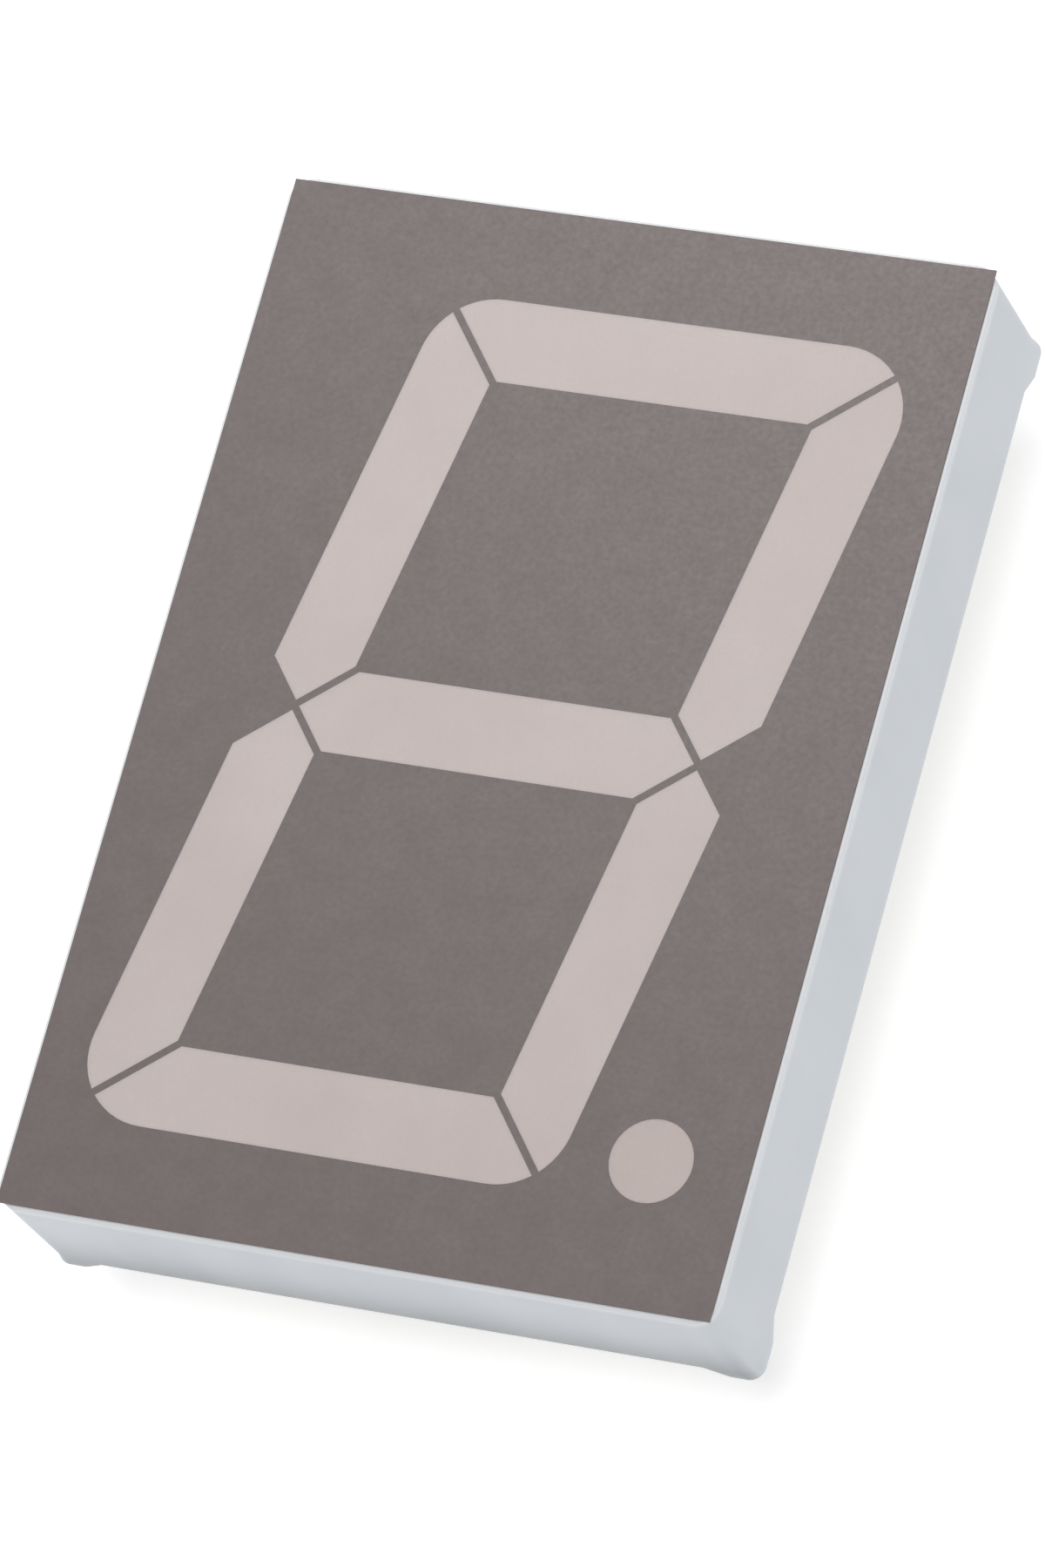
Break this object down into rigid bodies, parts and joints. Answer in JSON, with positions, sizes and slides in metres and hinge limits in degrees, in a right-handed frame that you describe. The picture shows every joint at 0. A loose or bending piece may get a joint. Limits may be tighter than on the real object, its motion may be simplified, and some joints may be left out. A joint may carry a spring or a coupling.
{
  "type": "seven segment display",
  "caption": "Single digit light-emitting display with a slanted figure and a decimal point: grey face, white drafted housing with corner feet, two rows of pins behind.",
  "frame": {"origin": "under the middle of the part, level with the pin tips", "axes": "+X across the digit to the right, +Y up the digit, +Z out of the face; the part lies face up on its pin tips"},
  "size_m": [0.048, 0.07, 0.017],
  "materials": {
    "white_housing": "satin white moulded polycarbonate",
    "grey_face": "matt warm grey print with a fine grain",
    "segment_resin": "milky diffusing resin, faintly pink",
    "circuit_board": "glass and epoxy laminate under a white solder mask",
    "seal_resin": "cast resin, smooth and slightly yellow",
    "tinned_pin": "tin plated",
    "solder": "bright solder",
    "chip": "polished semiconductor",
    "gold_wire": "drawn gold wire"
  },
  "bodies": {
    "root": {"reflector_housing": "white_housing", "face_mask": "grey_face", "circuit_board": "circuit_board", "rear_seal": "seal_resin", "lens_a": "segment_resin", "chips_a": "chip", "bond_wires_a": "gold_wire", "lens_b": "segment_resin", "chips_b": "chip", "bond_wires_b": "gold_wire", "lens_c": "segment_resin", "chips_c": "chip", "bond_wires_c": "gold_wire", "lens_d": "segment_resin", "chips_d": "chip", "bond_wires_d": "gold_wire", "lens_e": "segment_resin", "chips_e": "chip", "bond_wires_e": "gold_wire", "lens_f": "segment_resin", "chips_f": "chip", "bond_wires_f": "gold_wire", "lens_g": "segment_resin", "chips_g": "chip", "bond_wires_g": "gold_wire", "lens_point": "segment_resin", "chips_point": "chip", "bond_wires_point": "gold_wire", "pin_1": "tinned_pin", "solder_1": "solder", "pin_2": "tinned_pin", "solder_2": "solder", "pin_3": "tinned_pin", "solder_3": "solder", "pin_4": "tinned_pin", "solder_4": "solder", "pin_5": "tinned_pin", "solder_5": "solder", "pin_6": "tinned_pin", "solder_6": "solder", "pin_7": "tinned_pin", "solder_7": "solder", "pin_8": "tinned_pin", "solder_8": "solder", "pin_9": "tinned_pin", "solder_9": "solder", "pin_10": "tinned_pin", "solder_10": "solder"}
  },
  "joints": []
}
